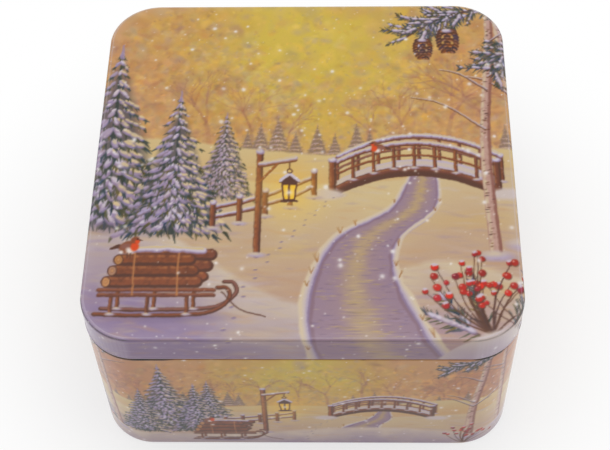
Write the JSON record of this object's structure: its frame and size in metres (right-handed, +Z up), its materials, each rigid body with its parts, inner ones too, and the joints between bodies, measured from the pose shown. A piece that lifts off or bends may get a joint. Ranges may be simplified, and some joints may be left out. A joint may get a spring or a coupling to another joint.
{
  "type": "square cookie tin",
  "caption": "Square tinplate storage tin with rounded corners, a stepped body, a seamed-in base and a flush slip-on lid that lifts off.",
  "frame": {"origin": "middle of the footprint, on the surface the tin stands on", "axes": "+Z up, the way the lid lifts; -Y is the front face, +Y the back face with the side seam; +X to the right seen from the front"},
  "size_m": [0.19, 0.19, 0.097],
  "materials": {
    "lid_print": "varnished picture print, satin gloss",
    "wall_print": "varnished picture print, satin gloss",
    "bare_tinplate": "bare bright tinplate"
  },
  "bodies": {
    "tin_body": {"body_wall": "wall_print", "base_panel": "bare_tinplate"},
    "tin_lid": {"lid": "lid_print"}
  },
  "joints": [
    {"name": "lid_lift", "type": "slide", "parent": "tin_body", "child": "tin_lid", "axis": [0, 0, 1], "range_m": [0, 0.12]}
  ]
}
